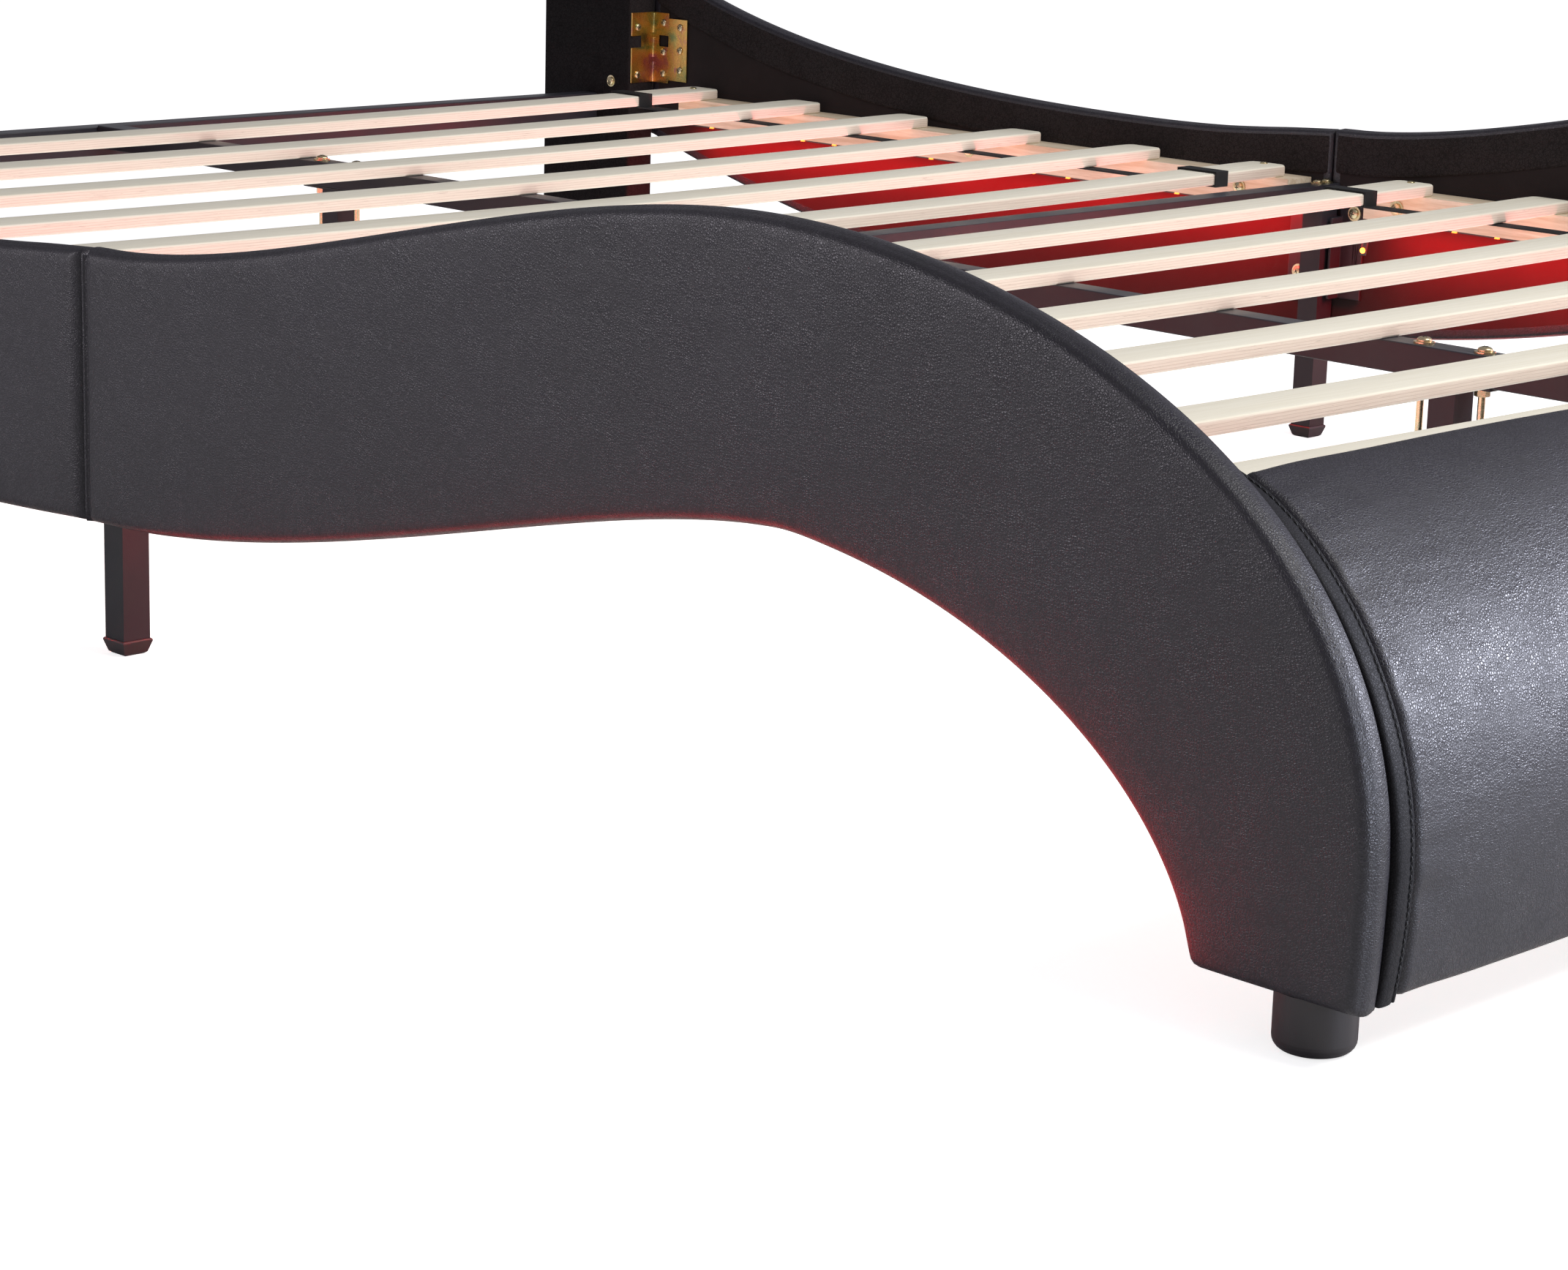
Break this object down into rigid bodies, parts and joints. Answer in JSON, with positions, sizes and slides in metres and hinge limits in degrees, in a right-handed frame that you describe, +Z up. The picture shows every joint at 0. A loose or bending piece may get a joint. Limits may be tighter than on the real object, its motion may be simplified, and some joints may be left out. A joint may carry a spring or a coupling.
{
  "type": "sleigh bed",
  "caption": "Low sleigh bed with wave-shaped padded side rails, rolled foot panel, raised head panel, slats on a steel centre beam and light strips under the ledgers.",
  "frame": {"origin": "on the floor, midway between the side rails, at the middle of the bed's whole length", "axes": "+X across the bed, +Y from the foot to the head, +Z up"},
  "size_m": [1.6, 2.48, 0.8933],
  "materials": {
    "leather": "satin pebbled black faux leather over foam",
    "board": "plain board hidden by the upholstery",
    "lining": "matt black non-woven lining",
    "edging": "black stitched edging strip",
    "post_cover": "matt black covering over a board",
    "black_plastic": "satin black moulded plastic",
    "slat_wood": "bare pale laminated veneer",
    "ledger_wood": "bare pale softwood",
    "webbing": "flat black woven webbing",
    "zinc": "yellow zinc plating",
    "black_steel": "black powder coat",
    "light": "flexible light strip glowing red"
  },
  "bodies": {
    "root": {"rail_left_foot": "leather", "rail_left_head": "leather", "rail_right_foot": "leather", "rail_right_head": "leather", "core_left_foot": "board", "core_left_head": "board", "core_right_foot": "board", "core_right_head": "board", "lining_left": "lining", "lining_right": "lining", "foot_panel": "leather", "foot_panel_core": "board", "foot_welts": "edging", "foot_cross_rail": "black_steel", "corner_blocks": "board", "foot_left": "black_plastic", "foot_right": "black_plastic", "wing_left": "leather", "wing_right": "leather", "post_left": "post_cover", "post_right": "post_cover", "head_panel": "leather", "head_panel_core": "board", "head_cross_rail": "black_steel", "cross_tube": "black_steel", "beam_head": "black_steel", "beam_foot": "black_steel", "centre_leg_head": "black_steel", "centre_leg_foot": "black_steel", "side_leg_left": "black_steel", "side_leg_right": "black_steel", "leg_caps": "black_plastic", "ledger_left_foot": "ledger_wood", "ledger_left_head": "ledger_wood", "ledger_right_foot": "ledger_wood", "ledger_right_head": "ledger_wood", "slat_01": "slat_wood", "slat_02": "slat_wood", "slat_03": "slat_wood", "slat_04": "slat_wood", "slat_05": "slat_wood", "slat_06": "slat_wood", "slat_07": "slat_wood", "slat_08": "slat_wood", "slat_09": "slat_wood", "slat_10": "slat_wood", "slat_11": "slat_wood", "slat_12": "slat_wood", "straps_head": "webbing", "straps_foot": "webbing", "bracket_left": "zinc", "bracket_right": "zinc", "joint_plates": "black_steel", "bracket_screws": "zinc", "beam_bolts": "zinc", "cross_bolts": "zinc", "joint_bolts": "zinc", "slat_screws": "zinc", "light_strip_left": "light", "light_strip_right": "light"}
  },
  "joints": []
}
